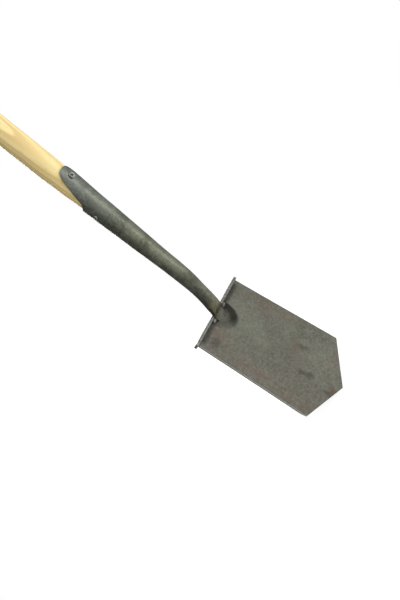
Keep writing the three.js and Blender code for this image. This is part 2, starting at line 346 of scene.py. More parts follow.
def aboveTreads(mesh, height=0):
    # from millimetres above a height on the shaft's axis to metres in the frame
    level = Matrix.Translation((0, 0, treadLevel + height * mm))
    bmesh.ops.transform(mesh, matrix=level @ Matrix.Scale(mm, 4), verts=mesh.verts)


def roundEdges(mesh, offset, segments=3, sharper=40):
    edges = [e for e in mesh.edges if len(e.link_faces) == 2 and e.calc_face_angle() > radians(sharper)]
    bmesh.ops.bevel(mesh, geom=edges, offset=offset, offset_type="OFFSET", segments=segments,
                    profile=0.5, affect="EDGES", material=-1, clamp_overlap=True)


def blend(low, high, part):
    return low + (high - low) * part


def smooth(part):
    part = min(1.0, max(0.0, part))
    return part * part * (3 - 2 * part)


def curveAt(points, at):
    # smooth curve through [position, value] pairs, level beyond the ends
    if at <= points[0][0]:
        return points[0][1]
    if at >= points[-1][0]:
        return points[-1][1]
    i = next(k for k in range(1, len(points)) if points[k][0] >= at) - 1
    slopes = [(b[1] - a[1]) / (b[0] - a[0]) for a, b in zip(points, points[1:])]
    (x0, y0), (x1, y1) = points[i], points[i + 1]
    before = (slopes[i - 1] + slopes[i]) / 2 if i > 0 else slopes[i]
    after = (slopes[i] + slopes[i + 1]) / 2 if i + 2 < len(points) else slopes[i]
    t, width = (at - x0) / (x1 - x0), x1 - x0
    rest = 1 - t
    return (y0 * (1 + 2 * t) * rest * rest + before * width * t * rest * rest
            + y1 * t * t * (3 - 2 * t) - after * width * t * t * rest)


def ripple(point, size, seed=0.0):
    # gentle three-dimensional unevenness, -1 to 1, with features about size across
    return noise.noise(Vector(point) / size + Vector((seed, seed * 1.7, -seed)))


def tone(red, green, blue):
    # a screen colour, 0 to 255, as the shader's own linear colour
    def straight(value):
        value /= 255
        return value / 12.92 if value <= 0.04045 else ((value + 0.055) / 1.055) ** 2.4
    return tuple(straight(value) for value in (red, green, blue))


# Blade: flared sheet with a pointed foot ground thin behind, dished where the neck is welded in
bladeSheet = {
    "topWidth": 145.5, "footWidth": 160.4, "shoulder": 196.5, "length": 234.5, "thickness": 3.0,
    "topEdge": 4.8,                                    # below the treads' upper face
    "dishHalfWidth": 25.0, "dishReach": 36.0, "dishDepth": 7.5,
    # powers: how late it narrows, how fast it shallows, and how steep its walls are, left and right
    "dishTaper": 2.4, "dishFade": 1.15, "dishWalls": (1.9, 3.2),
    "ground": 7.5, "edgeLand": 0.8,                    # width and edge of the foot's ground bevel
    "wave": 0.25, "edgeWear": 0.18, "round": 0.35,
    "columns": 128, "rows": 150, "groundRows": 6,
}


def dishAt(x, y):
    # how deep the blade's front is pressed in, millimetres: a trough that runs out downwards
    b = bladeSheet
    down = min(1.0, max(0.0, (-y - b["topEdge"]) / b["dishReach"]))
    halfWidth = b["dishHalfWidth"] * sqrt(max(0.0, 1 - down ** b["dishTaper"]))
    if abs(x) >= halfWidth:
        return 0.0
    depth = b["dishDepth"] * (1 - down) ** b["dishFade"]
    return depth * (1 - (abs(x) / halfWidth) ** b["dishWalls"][x > 0])


def makeBlade(material):
    b = bladeSheet
    slope = (b["length"] - b["shoulder"]) / (b["footWidth"] / 2)
    groundHeight = b["ground"] * sqrt(1 + slope * slope)
    plainPart = 1 - b["groundRows"] / b["rows"]
    mesh = bmesh.new()
    bmesh.ops.create_grid(mesh, x_segments=b["columns"], y_segments=b["rows"], size=1)

    def footAt(x):
        return -b["length"] + slope * abs(x)

    def place(co):
        across, down = co.x, (1 - co.y) / 2
        foot = -b["length"] + (b["length"] - b["shoulder"]) * abs(across)
        grind = foot + groundHeight
        if down <= plainPart:
            y = blend(-b["topEdge"], grind, down / plainPart)
        else:
            y = blend(grind, foot, (down - plainPart) / (1 - plainPart))
        flare = (-b["topEdge"] - y) / (b["shoulder"] - b["topEdge"])
        x = across * blend(b["topWidth"], b["footWidth"], min(1.0, flare)) / 2
        worn = b["edgeWear"] * ripple((x, y, 0), 14) * smooth((down - 0.75) * 4)
        wave = b["wave"] * ripple((x, y, 5), 55) * smooth((-y - 30) / 60)
        return Vector((x, y + worn * (1 - abs(across)), -dishAt(x, y) + wave))

    reshape(mesh, place)
    bmesh.ops.recalc_face_normals(mesh, faces=mesh.faces)
    if mesh.faces[0].normal.z < 0:
        bmesh.ops.reverse_faces(mesh, faces=mesh.faces)
    bmesh.ops.solidify(mesh, geom=mesh.faces[:], thickness=b["thickness"])
    # the foot's back is ground towards the edge
    for vert in mesh.verts:
        above = vert.co.y - footAt(vert.co.x)
        if above < groundHeight and vert.co.z < -b["thickness"] / 2:
            vert.co.z = -blend(b["edgeLand"], b["thickness"], max(0.0, above) / groundHeight)
    closeUp(mesh, 0.01)
    roundEdges(mesh, b["round"], 2, 50)
    ontoBlade(mesh)
    settle(toObject("blade_sheet", mesh, material), "blade_steel", "blade")


# Treads: flat bars along the blade's top edge, a little proud in front and further behind
treadBar = {
    "thickness": 4.5, "front": 3.5, "back": 13.0, "inner": 15.5, "reach": 75.6, "cornerCut": 6.0,
    "round": 0.7, "wave": 0.16, "slices": 26,
}


def makeTread(side, material):
    t = treadBar
    mesh = bmesh.new()
    outline = [(t["inner"], t["front"]), (t["reach"], t["front"]), (t["reach"], t["cornerCut"] - t["back"]),
               (t["reach"] - t["cornerCut"], -t["back"]), (t["inner"], -t["back"])]
    face = mesh.faces.new([mesh.verts.new((side * x, 0, z)) for x, z in outline])
    sheet = bmesh.ops.extrude_face_region(mesh, geom=[face])["geom"]
    lower = [item for item in sheet if isinstance(item, bmesh.types.BMVert)]
    bmesh.ops.translate(mesh, vec=(0, -t["thickness"], 0), verts=lower)
    closeUp(mesh)
    roundEdges(mesh, t["round"], 3, 30)
    for i in range(1, t["slices"]):
        x = side * blend(t["inner"], t["reach"], i / t["slices"])
        bmesh.ops.bisect_plane(mesh, geom=mesh.verts[:] + mesh.edges[:] + mesh.faces[:],
                               plane_co=(x, 0, 0), plane_no=(1, 0, 0))
    reshape(mesh, lambda co: co + Vector((0, t["wave"], t["wave"])) * ripple(co, 9, 3.0))
    ontoBlade(mesh)
    name = "left_tread" if side < 0 else "right_tread"
    settle(toObject(name + "_bar", mesh, material), "tread_steel", name)


# Socket: tapering tube with a front strap, bent and squashed at the neck and nosed into the dish
socketTube = {
    "wall": 2.5, "boreBottom": 108.0, "rim": 0.8, "steps": 120,
    "bendStart": 88.0, "bendRadius": 278.0,
    "squashFrom": 45.0, "wider": 0.22, "flatter": 0.12,
    "hammer": 0.16, "dent": 0.3, "embed": 0.9,
    # outside radius at heights above the treads
    "stations": [[-31, 3], [-28, 5.5], [-22, 8], [-12, 10], [4, 10.6], [40, 11.2], [75, 12.8], [120, 13.8],
                 [160, 15.2], [200, 16.7], [246, 17.9], [290, 20.0], [320, 20.4]],
    # the mouth's edge from the side: distance behind the axis, height above the treads
    "mouth": [[-20.4, 310.5], [-19.9, 309.9], [-18.2, 308], [-15.9, 302], [-14, 294.5], [-11.7, 283],
              [-8, 269.5], [-5, 259], [-1, 254], [3, 252], [8, 250.5], [18, 248]],
    # where the tube's front stops, and the ridge that its nose goes on in: up the blade, out of its face
    "ridge": [[-32, -9], [-22, -5.5], [-14, -1.8], [-8, 1.6], [-4.5, 5.0], [-1.5, 11.0],
              [0.5, 15.5], [4, 30]],
    "ridgeRound": 0.012, "ridgeSpare": 0.12, "ridgeTop": 6,
    # beads of weld on the nose: across the blade, up it, radius, height
    "spatter": [(1.5, -15.5, 2.6, 1.6), (-6.0, -9.0, 3.0, 1.0), (8.0, -11.5, 2.4, 0.9)],
}


def socketRadius(height):
    return curveAt(socketTube["stations"], height)


def mouthHeight(back):
    return curveAt(socketTube["mouth"], back)


def bentNeck(co):
    # the tube's straight form, in millimetres above the treads, to its place on the head
    s = socketTube
    pressed = smooth((s["squashFrom"] - co.z) / s["squashFrom"])
    across, depth = co.x * (1 + s["wider"] * pressed), co.y * (1 - s["flatter"] * pressed)
    turn = max(0.0, s["bendStart"] - co.z) / s["bendRadius"]
    if turn == 0:
        return Vector((across, depth, co.z))
    middle = s["bendRadius"] * (1 - cos(turn))
    level = s["bendStart"] - s["bendRadius"] * sin(turn)
    return Vector((across, middle + depth * cos(turn), level + depth * sin(turn)))


def makeSocket(material):
    s = socketTube
    top, straight = 300.0, 225.0         # the mouth is shaped above the straight part
    outside = [(0.0, -31.0)] + [(socketRadius(h), h) for h in (-31, -30, -28.5)]
    outside += [(socketRadius(h), h) for h in (i * 1.25 - 27 for i in range(25))]
    outside += [(socketRadius(4 + i * 2.5), 4 + i * 2.5) for i in range(int((top - 6) / 2.5))]
    last = socketRadius(top)
    rim = [(last - 0.5 * s["rim"] * (1 - cos(a)), top - s["rim"] * (1 - sin(a)))
           for a in (0.0, 0.5, 1.0, 1.5)]
    bore = [(last - s["wall"] + 0.4, top), (last - s["wall"], top - 0.5)]
    boreHeights = (290, 280, 270, 255, 240, 225, 200, 170, 140, s["boreBottom"])
    bore += [(socketRadius(h) - s["wall"], h) for h in boreHeights]
    mesh = turned(outside + rim + bore + [(0.0, s["boreBottom"])], s["steps"])

    def shapeMouth(co):
        radius = co.xy.length
        if co.z <= straight or radius < 1:
            return co
        back = co.y / radius * (radius if radius > 12 else 12)
        stretch = (mouthHeight(back) - straight) / (top - straight)
        height = straight + (co.z - straight) * stretch
        grown = radius + socketRadius(height) - socketRadius(co.z)
        return Vector((co.x / radius * grown, co.y / radius * grown, height))

    def hammered(co):
        radius = co.xy.length
        if radius < socketRadius(co.z) - 1.2:
            return co
        worn = s["hammer"] * ripple(co, 5.5) + s["dent"] * ripple(co, 24, 7.0)
        return Vector((co.x, co.y, 0)) * (1 + worn / max(radius, 4)) + Vector((0, 0, co.z))

    reshape(mesh, shapeMouth)
    reshape(mesh, hammered)
    reshape(mesh, bentNeck)
    toBlade = Matrix.Rotation(headPlaces["bladeLean"] - pi / 2, 4, "X")
    shift = Vector((0, bladeSetback / mm, 0))

    def nested(co):
        # the front is pressed down to the ridge, rounded across
        local = toBlade @ (co - shift)
        ridge = curveAt(s["ridge"], local.y) - s["ridgeRound"] * local.x ** 2
        if local.y < s["ridgeTop"] and local.z > ridge:
            local.z = ridge + s["ridgeSpare"] * (local.z - ridge)
            for x, y, size, height in s["spatter"]:
                away = ((local.x - x) ** 2 + (local.y - y) ** 2) / size ** 2
                local.z += height * max(0.0, 1 - away) ** 2
        # what would run through the blade is tucked just under its front face
        if local.y < -bladeSheet["topEdge"] + 0.5:
            local.z = max(local.z, -dishAt(local.x, local.y) - s["embed"])
        return toBlade.inverted() @ local + shift

    reshape(mesh, nested)
    bmesh.ops.recalc_face_normals(mesh, faces=mesh.faces)
    aboveTreads(mesh)
    settle(toObject("strapped_socket", mesh, material, 50), "socket_steel", "socket")


# Welds: fillets behind the treads, a bead behind the neck, and two tacks in front
weldBeads = {
    "from": 27.0, "to": 65.6, "leg": 3.9, "gap": 0.15, "pitch": 2.6, "ripple": 0.28,
    "neckHalf": 10.6, "neckRise": 4.1, "neckDepth": 3.7, "neckBehind": 7.6,
    "tackOut": 18.0, "tackBelow": 2.0, "tackBehind": 2.0, "tackSize": (4.3, 3.4, 4.8),
}


def makeTreadWeld(side, material):
    w, b = weldBeads, bladeSheet
    mesh = bmesh.new()
    legs = [(0, 0), (0, -w["leg"]), (-0.62 * w["leg"], -0.62 * w["leg"]), (-w["leg"], 0)]
    start, end = (w["from"], w["to"]) if side > 0 else (-w["to"], -w["from"])
    ring = [mesh.verts.new((start, y, z)) for y, z in legs]
    face = mesh.faces.new(ring)
    slices = int((end - start) / w["pitch"] * 6)
    for i in range(slices):
        grown = bmesh.ops.extrude_face_region(mesh, geom=[face])["geom"]
        faces = [item for item in grown if isinstance(item, bmesh.types.BMFace)]
        verts = [item for item in grown if isinstance(item, bmesh.types.BMVert)]
        if i:
            bmesh.ops.delete(mesh, geom=[face], context="FACES_ONLY")
        bmesh.ops.translate(mesh, vec=((end - start) / slices, 0, 0), verts=verts)
        face = faces[0]
    crosswise = [e for e in mesh.edges if abs((e.verts[0].co - e.verts[1].co).x) < 1e-4]
    bmesh.ops.subdivide_edges(mesh, edges=crosswise, cuts=2, use_grid_fill=True)

    def beaded(co):
        inward = min(-co.y, w["leg"]) * min(-co.z, w["leg"]) / w["leg"] ** 2
        ends = min(1.0, (co.x - start) / 3, (end - co.x) / 3)
        scallop = w["ripple"] * cos(2 * pi * co.x / w["pitch"] + 0.5 * ripple(co, 9)) * min(1.0, 3 * inward)
        size = (0.55 + 0.45 * sqrt(max(0.0, ends))) * (1 + 0.08 * ripple(co, 12, 2.0))
        return Vector((co.x, co.y * size + scallop * 0.7, co.z * size + scallop * 0.7))

    reshape(mesh, beaded)
    closeUp(mesh, 0.001)
    ontoBlade(mesh, (0, -b["topEdge"], -b["thickness"] - w["gap"]))
    name = "left_tread_weld" if side < 0 else "right_tread_weld"
    settle(toObject(name + "_bead", mesh, material), "weld_metal", name)


def makeBlob(name, node, centre, size, material, seed):
    mesh = bmesh.new()
    bmesh.ops.create_icosphere(mesh, subdivisions=4, radius=1)
    reshape(mesh, lambda co: co * (1 + 0.1 * ripple(co, 0.55, seed) + 0.05 * ripple(co, 0.2, seed)))
    reshape(mesh, lambda co: Vector(centre) + Vector([a * b for a, b in zip(co, size)]))
    ontoBlade(mesh)
    settle(toObject(name, mesh, material), "weld_metal", node)


def makeWelds(material):
    w, top = weldBeads, -bladeSheet["topEdge"]
    for side in (-1, 1):
        makeTreadWeld(side, material)
        word = "left" if side < 0 else "right"
        centre = (side * w["tackOut"], top - w["tackBelow"], -w["tackBehind"])
        makeBlob(word + "_tack_bead", word + "_tack_weld", centre, w["tackSize"], material, side * 2.0)
    size = (w["neckHalf"], w["neckRise"], w["neckDepth"])
    makeBlob("neck_weld_bead", "neck_weld", (0, top + 1.0, -w["neckBehind"]), size, material, 5.0)


# Rivets: a tubular one through the strap, its washer behind, and a solid one from side to side
rivets = {
    "strapHeight": 292.5, "shank": 2.5, "ring": 4.9, "proud": 2.4, "hole": 1.9, "holeDepth": 6.5,
    "burrRadius": 6.9, "burrThickness": 1.4, "headRadius": 5.1, "headHeight": 2.1,
    "sideHeight": 230.0, "sideHead": 3.25, "sideDome": 1.85, "sideShank": 1.9, "steps": 64,
}


def arc(centre, size, start, end, count):
    # [radius, height] pairs round part of an ellipse, angles in degrees from straight out
    angles = [radians(blend(start, end, i / count)) for i in range(count + 1)]
    return [(centre[0] + size[0] * cos(a), centre[1] + size[1] * sin(a)) for a in angles]


def makeRivets(material):
    r = rivets
    front = socketRadius(r["strapHeight"]) + 0.1
    wood = socketRadius(r["strapHeight"]) - socketTube["wall"]
    back = wood + r["burrThickness"] + 0.1
    middle = (r["ring"] + r["hole"]) / 2
    roll = arc((middle, front + 0.9), ((r["ring"] - r["hole"]) / 2, r["proud"] - 0.9), 0, 180, 14)
    dome = arc((0, -back), (r["headRadius"], r["headHeight"]), -90, 0, 12)
    holeFloor = front + r["proud"] - r["holeDepth"]
    profile = [(max(0.0, a), b) for a, b in dome]
    profile += [(r["shank"], -back), (r["shank"], front), (r["ring"] - 0.3, front)]
    profile += roll + [(r["hole"], holeFloor), (0.0, holeFloor)]
    mesh = turned([(0.0, -back - r["headHeight"])] + profile[1:], r["steps"], "Y")
    aboveTreads(mesh, r["strapHeight"])
    settle(toObject("tubular_strap_rivet", mesh, material), "rivet_steel", "strap_rivet")

    washer = [(0.0, -wood), (r["burrRadius"] - 0.3, -wood), (r["burrRadius"], -wood - 0.3),
              (r["burrRadius"] - 0.15, -wood - 1.0), (r["burrRadius"] - 0.6, -wood - r["burrThickness"]),
              (0.0, -wood - r["burrThickness"])]
    mesh = turned(washer, r["steps"], "Y")
    aboveTreads(mesh, r["strapHeight"])
    settle(toObject("rivet_washer", mesh, material), "rivet_steel", "rivet_burr")

    seat = socketRadius(r["sideHeight"]) + 0.05
    cap = arc((0, seat), (r["sideHead"], r["sideDome"]), 0, 90, 12)
    cap = [(max(0.0, a), b) for a, b in cap[:-1]] + [(0.0, seat + r["sideDome"])]
    lower = [(a, -b) for a, b in reversed(cap)]
    mesh = turned(lower + [(r["sideShank"], -seat), (r["sideShank"], seat)] + cap, r["steps"], "X")
    aboveTreads(mesh, r["sideHeight"])
    settle(toObject("side_rivet_heads", mesh, material), "rivet_steel", "side_rivet")


# Shaft: ash, tapered into the socket, slimmer towards the grip, with a tenon on top
ashShaft = {
    "radius": 18.2, "topRadius": 17.2, "fullFrom": 330.0, "taperFrom": 520.0, "bottom": 110.0,
    "collarDrop": 18.5, "tenon": 12.0, "tenonTop": 10.5, "gap": 0.3, "steps": 96,
}


def makeShaft(material):
    a = ashShaft
    base = treadLevel / mm
    inSocket = [(socketRadius(h) - socketTube["wall"] - a["gap"], base + h)
                for h in (a["bottom"], 130, 160, 190, 220, 235, 246, 256, 266, 276, 286, 292)]
    shoulder = -a["collarDrop"] - a["gap"]
    mouthRadius, mouthTop = inSocket[-1]
    full = [(blend(mouthRadius, a["radius"], smooth(i / 6)),
             blend(mouthTop, base + a["fullFrom"], i / 6)) for i in range(1, 7)]
    upper = [(blend(a["radius"], a["topRadius"], smooth(i / 16)),
              blend(base + a["taperFrom"], shoulder - 0.5, i / 16)) for i in range(17)]
    end = [(a["topRadius"] - 0.4, shoulder), (a["tenon"], shoulder)]
    end += [(a["tenon"], a["tenonTop"]), (0.0, a["tenonTop"])]
    mesh = turned([(0.0, base + a["bottom"])] + inSocket + full + upper + end, a["steps"])
    bmesh.ops.scale(mesh, vec=(mm, mm, mm), verts=mesh.verts)
    settle(toObject("ash_shaft", mesh, material), "shaft_ash", "shaft")


# Grip: arched crossbar with rounded ends, run into a collar the width of the shaft
toolGrip = {
    "width": 132.0, "crown": 27.8, "endTop": 18.6, "under": 14.5, "middleDepth": 19.5, "endDepth": 17.5,
    "round": 6.0, "endDome": 0.6, "collarFlare": 0.75, "collarRise": 10.0, "voxel": 1.25, "softening": 7,
}


def makeGrip(material):
    g, half = toolGrip, toolGrip["width"] / 2
    steps = 72
    # straight bar of radius 1, its rings closer together towards the rounded ends
    stations = [half * sin(pi / 2 * i / 44) for i in range(-44, 45)]
    mesh = turned([(0.0, -half)] + [(1.0, x) for x in stations] + [(0.0, half)], steps, "X")

    def arched(co):
        along = abs(co.x) / half
        top = blend(g["crown"], g["endTop"], along ** 2)
        bottom = -blend(g["under"], g["endTop"], along ** 3)
        depth = blend(g["middleDepth"], g["endDepth"], along ** 2)
        past = max(0.0, abs(co.x) - half + g["round"]) / g["round"]
        inset = g["round"] * (1 - sqrt(max(0.0, 1 - past ** 2)))
        height = (top - bottom) / 2
        return Vector((co.x, co.y * (depth - inset), (top + bottom) / 2 + co.z * (height - inset)))

    reshape(mesh, arched)
    collar = [(0.0, -ashShaft["collarDrop"])]
    collar += [(ashShaft["topRadius"], -ashShaft["collarDrop"] + g["collarRise"] * i / 12) for i in range(13)]
    collar += [(ashShaft["topRadius"], g["endTop"] - 4), (0.0, g["endTop"] - 4)]
    neck = turned(collar, steps)

    def flared(co):
        up = min(1.0, (co.z + ashShaft["collarDrop"]) / g["collarRise"])
        return Vector((co.x * (1 + g["collarFlare"] * up ** 2.2), co.y, co.z))

    reshape(neck, flared)
    spare = bpy.data.meshes.new("collar")
    neck.to_mesh(spare)
    neck.free()
    mesh.from_mesh(spare)
    bpy.data.meshes.remove(spare)
    bmesh.ops.scale(mesh, vec=(mm, mm, mm), verts=mesh.verts)
    piece = toObject("crossbar_grip", mesh, material)
    remesh = piece.modifiers.new("join", "REMESH")
    remesh.mode, remesh.voxel_size = "VOXEL", g["voxel"] * mm
    remesh.use_smooth_shade = True
    flat = bpy.data.meshes.new_from_object(piece.evaluated_get(bpy.context.evaluated_depsgraph_get()))
    piece.modifiers.clear()
    mesh = bmesh.new()
    mesh.from_mesh(flat)
    lowest = -ashShaft["collarDrop"] * mm
    free = [v for v in mesh.verts if v.co.z > lowest + g["voxel"] * mm]
    for _ in range(g["softening"]):
        bmesh.ops.smooth_vert(mesh, verts=free, factor=0.5, use_axis_x=True, use_axis_y=True, use_axis_z=True)
    mesh.to_mesh(piece.data)
    mesh.free()
    bpy.data.meshes.remove(flat)
    for polygon in piece.data.polygons:
        polygon.use_smooth = True
    settle(piece, "grip_wood", "grip")


# Finishes. Colours are screen colours, 0 to 255, and lengths in metres
bladeLook = {
    "middle": (104, 105, 94), "light": (124, 126, 114), "dark": (92, 92, 82), "violet": (94, 87, 82),
    "speck": (62, 61, 54), "rust": (110, 92, 78), "stain": (58, 54, 49), "scratch": (132, 132, 125),
    # the scale tone is burnt scale, also used as painted shade in the dish and under the treads
    "scale": (38, 38, 32), "arris": (150, 150, 143), "side": (70, 69, 63),
    "metallic": 0.75, "roughness": 0.38,
    # rust blooms and dark stains: across the blade, up it, size
    "blooms": [(0.061, -0.068, 0.024), (0.064, -0.110, 0.016), (-0.056, -0.084, 0.018),
               (-0.060, -0.112, 0.016), (-0.068, -0.150, 0.020), (-0.066, -0.186, 0.014),
               (0.022, -0.138, 0.014), (-0.012, -0.222, 0.012), (0.030, -0.205, 0.013),
               (-0.038, -0.030, 0.015)],
    "stains": [(-0.014, -0.168, 0.009), (-0.012, -0.178, 0.006), (-0.052, -0.026, 0.012),
               (-0.022, -0.224, 0.013), (0.028, -0.150, 0.008)],
}


def bladeSteel():
    look, s = bladeLook, Shade("blade_steel")
    settings = {"vector_type": "TEXTURE"}
    lean = pi / 2 - headPlaces["bladeLean"]
    values = {"Vector": s.place, "Location": (0, bladeSetback, treadLevel), "Rotation": (lean, 0, 0)}
    onBlade = s.add("ShaderNodeMapping", settings, values)
    split = s.add("ShaderNodeSeparateXYZ", inputs={0: onBlade}, output=None)
    x, y = Wire(s, split.outputs[0]), Wire(s, split.outputs[1])

    def bloomAt(spots, ragged):
        # ragged patches, longer up the blade than across it
        mask = None
        for across, up, size in spots:
            aside, along = (x - across) / size, (y - up) / (size * 1.5)
            out = (aside * aside + along * along).root() + (ragged - 0.5) * 3.2
            one = out.rise(1.15, 0.0)
            mask = one if mask is None else mask.larger(one)
        return mask

    wide = s.cloud(11, 4, 0.55, onBlade, 0.3)
    drift = s.cloud(23, 3, 0.5, s.stretched((1, 1, 1), (0.31, 0.7, 0.2), at=onBlade))
    patch = s.cloud(70, 5, 0.62, onBlade)
    mottle = s.cloud(230, 4, 0.7, onBlade)
    grit = s.cloud(420, 3, 0.7, onBlade)
    fine = s.cloud(1500, 2, 0.6, onBlade)
    drawn = s.cloud(1.0, 3, 0.6, s.stretched((900, 14, 900), at=onBlade))
    scored = s.cloud(1.0, 1, 0.4, s.stretched((1500, 60, 200), (0.2, 0.1, 0), (0, 0, 0.35), onBlade))
    rust = bloomAt(look["blooms"], patch) * mottle.rise(0.34, 0.62) * 0.5
    loose = wide.rise(0.5, 0.66) * mottle.rise(0.5, 0.66) * 0.15
    rust = rust.larger(loose)
    stain = bloomAt(look["stains"], patch) * 0.6
    scratch = scored.rise(0.68, 0.74) * patch.rise(0.5, 0.62) * 0.5
    colour = s.mix(wide.rise(0.36, 0.62), tone(*look["dark"]), tone(*look["middle"]))
    colour = s.mix(patch.rise(0.42, 0.7) * 0.4, colour, tone(*look["light"]))
    colour = s.mix(drift.rise(0.45, 0.68) * 0.5, colour, tone(*look["violet"]))
    # darker and more violet towards the blade's left side
    colour = s.mix((patch - 0.1) * x.rise(0.005, -0.055) * 0.9, colour, tone(*look["violet"]))
    colour = s.mix(mottle.rise(0.5, 0.68) * 0.45, colour, tone(*look["speck"]))
    colour = s.mix(mottle.rise(0.5, 0.34) * 0.4, colour, tone(*look["light"]))
    colour = s.mix(grit.rise(0.52, 0.72) * 0.4, colour, tone(*look["speck"]))
    colour = s.mix(drawn.rise(0.5, 0.75) * 0.3, colour, tone(*look["light"]))
    colour = s.mix(stain, colour, tone(*look["stain"]))
    colour = s.mix(rust, colour, tone(*look["rust"]))
    colour = s.mix(scratch, colour, tone(*look["scratch"]))
    # burnt scale in the dish, with painted shade making it heavier on the dish's right wall, and painted
    # shade with some heat tint in the dark band along the join under the treads
    b = bladeSheet
    dishOut, dishDown = x / (b["dishHalfWidth"] * mm), (y + b["topEdge"] * mm) / (b["dishReach"] * mm)
    ring = (dishOut * dishOut + dishDown * dishDown).root() + (mottle - 0.5) * 0.25
    # the part that grows towards the right is painted shade on the dish's right wall; the patchy part is
    # burnt scale
    burnt = x.rise(-0.020, 0.008) * 0.95 + (patch - 0.4)
    scale = ring.rise(0.25, 0.75) * ring.rise(1.1, 0.9) * y.rise(-0.048, -0.034) * burnt
    # dark band under the treads: painted shade below their proud front edges, with some heat tint
    seamTintAndShade = (y + (patch - 0.5) * 0.008).rise(-0.0155, -0.0075) * x.absolute().rise(0.071, 0.060) * 0.75
    colour = s.mix(scale.larger(seamTintAndShade), colour, tone(*look["scale"]))
    # cut edges: a rubbed arris in front and a dull side
    flare = (b["footWidth"] - b["topWidth"]) / (b["shoulder"] - b["topEdge"]) / 2
    edge = x.absolute() - b["topWidth"] * mm / 2 + (y + b["topEdge"] * mm) * flare
    z = Wire(s, split.outputs[2])
    arris = edge.rise(-0.0012, -0.0004) * (mottle * 0.8 + 0.3)
    colour = s.mix(arris, colour, tone(*look["arris"]))
    colour = s.mix(z.rise(-0.0007, -0.0011) * edge.rise(-0.0008, -0.0003), colour, tone(*look["side"]))
    roughness = grit * 0.22 + patch * 0.16 + rust * 0.35 + (look["roughness"] - 0.16)
    relief = s.bump(patch, 0.0004, 0.35)
    relief = s.bump(grit + fine * 0.5, 0.00012, 0.55, relief)
    relief = s.bump(drawn - scratch, 0.00005, 0.4, relief)
    return s.finish(colour=colour, roughness=roughness, metallic=look["metallic"], normal=relief)


socketLook = {
    "olive": (116, 118, 102), "dark": (82, 84, 70), "fleck": (146, 149, 136), "strap": (120, 125, 120),
    # the darkest tone here is weld blackening, also used as painted shade on the neck's left side
    "weathered": (84, 84, 76), "heat": (116, 108, 74), "sootAndShadeTone": (52, 53, 45),
    "metallic": 0.8, "roughness": 0.34,
}


def socketScale():
    look, s = socketLook, Shade("socket_scale")
    height = s.z - treadLevel
    wide = s.cloud(26, 4, 0.6)
    hammer = s.cloud(190, 2, 0.5, None, 0.4)
    blotch = s.cloud(95, 4, 0.65, None, 0.5)
    pits = s.cells(260)
    grit = s.cloud(650, 3, 0.7)
    run = s.cloud(1.0, 3, 0.6, s.stretched((240, 240, 40)))
    colour = s.mix(wide.rise(0.35, 0.65), tone(*look["dark"]), tone(*look["olive"]))
    colour = s.mix(height.rise(0.15, 0.30) * 0.75, colour, tone(*look["strap"]))
    colour = s.mix(hammer.rise(0.45, 0.7) * 0.4, colour, tone(*look["fleck"]))
    colour = s.mix(blotch.rise(0.5, 0.64) * 0.45, colour, tone(*look["dark"]))
    colour = s.mix(pits.rise(0.28, 0.06) * 0.45, colour, tone(*look["dark"]))
    colour = s.mix(run.rise(0.5, 0.75) * 0.35, colour, tone(*look["olive"]))
    colour = s.mix(height.rise(0.004, -0.006) * 0.8, colour, tone(*look["weathered"]))
    heat = height.rise(0.035, 0.006) * height.rise(-0.012, 0.004) * wide.rise(0.4, 0.6)
    # blackening from welding above the weld, with painted shade making it heavier on the neck's left side
    sootAndShade = s.x.rise(0.0, -0.008) * 0.5 + 0.25
    sootAndShade = height.rise(0.10, 0.03) * height.rise(-0.012, 0.0) * (blotch - 0.5 + sootAndShade)
    colour = s.mix(sootAndShade, colour, tone(*look["sootAndShadeTone"]))
    colour = s.mix(heat * 0.45, colour, tone(*look["heat"]))
    roughness = hammer * 0.18 + grit * 0.2 + (look["roughness"] - 0.12)
    relief = s.bump(hammer, 0.0006, 0.6)
    relief = s.bump(pits, 0.0003, 0.35, relief)
    relief = s.bump(grit + run * 0.6, 0.00015, 0.6, relief)
    return s.finish(colour=colour, roughness=roughness, metallic=look["metallic"], normal=relief)


brightLooks = {
    "tread_steel": {"light": (130, 132, 128), "dark": (102, 102, 96), "stain": (78, 72, 63),
                    "metallic": 0.75, "roughness": 0.36, "stretch": (60, 900, 900)},
    "rivet_steel": {"light": (168, 171, 163), "dark": (122, 124, 116), "stain": (78, 78, 68),
                    "metallic": 0.85, "roughness": 0.32, "stretch": (500, 500, 500)},
    "weld_metal": {"light": (144, 143, 135), "dark": (104, 101, 94), "stain": (112, 88, 66),
                   "metallic": 0.7, "roughness": 0.42, "stretch": (500, 500, 500)},
}


def brightSteel(name):
    look, s = brightLooks[name], Shade(name)
    patch = s.cloud(140, 4, 0.6)
    grit = s.cloud(900, 3, 0.65)
    brushed = s.cloud(1.0, 3, 0.6, s.stretched(look["stretch"]))
    colour = s.mix(patch.rise(0.38, 0.64), tone(*look["dark"]), tone(*look["light"]))
    colour = s.mix(brushed.rise(0.45, 0.75) * 0.4, colour, tone(*look["dark"]))
    colour = s.mix(patch.rise(0.42, 0.3) * grit.rise(0.4, 0.7) * 0.7, colour, tone(*look["stain"]))
    roughness = brushed * 0.2 + grit * 0.15 + (look["roughness"] - 0.14)
    relief = s.bump(patch, 0.0003, 0.4)
    relief = s.bump(brushed + grit * 0.6, 0.0001, 0.5, relief)
    return s.finish(colour=colour, roughness=roughness, metallic=look["metallic"], normal=relief)


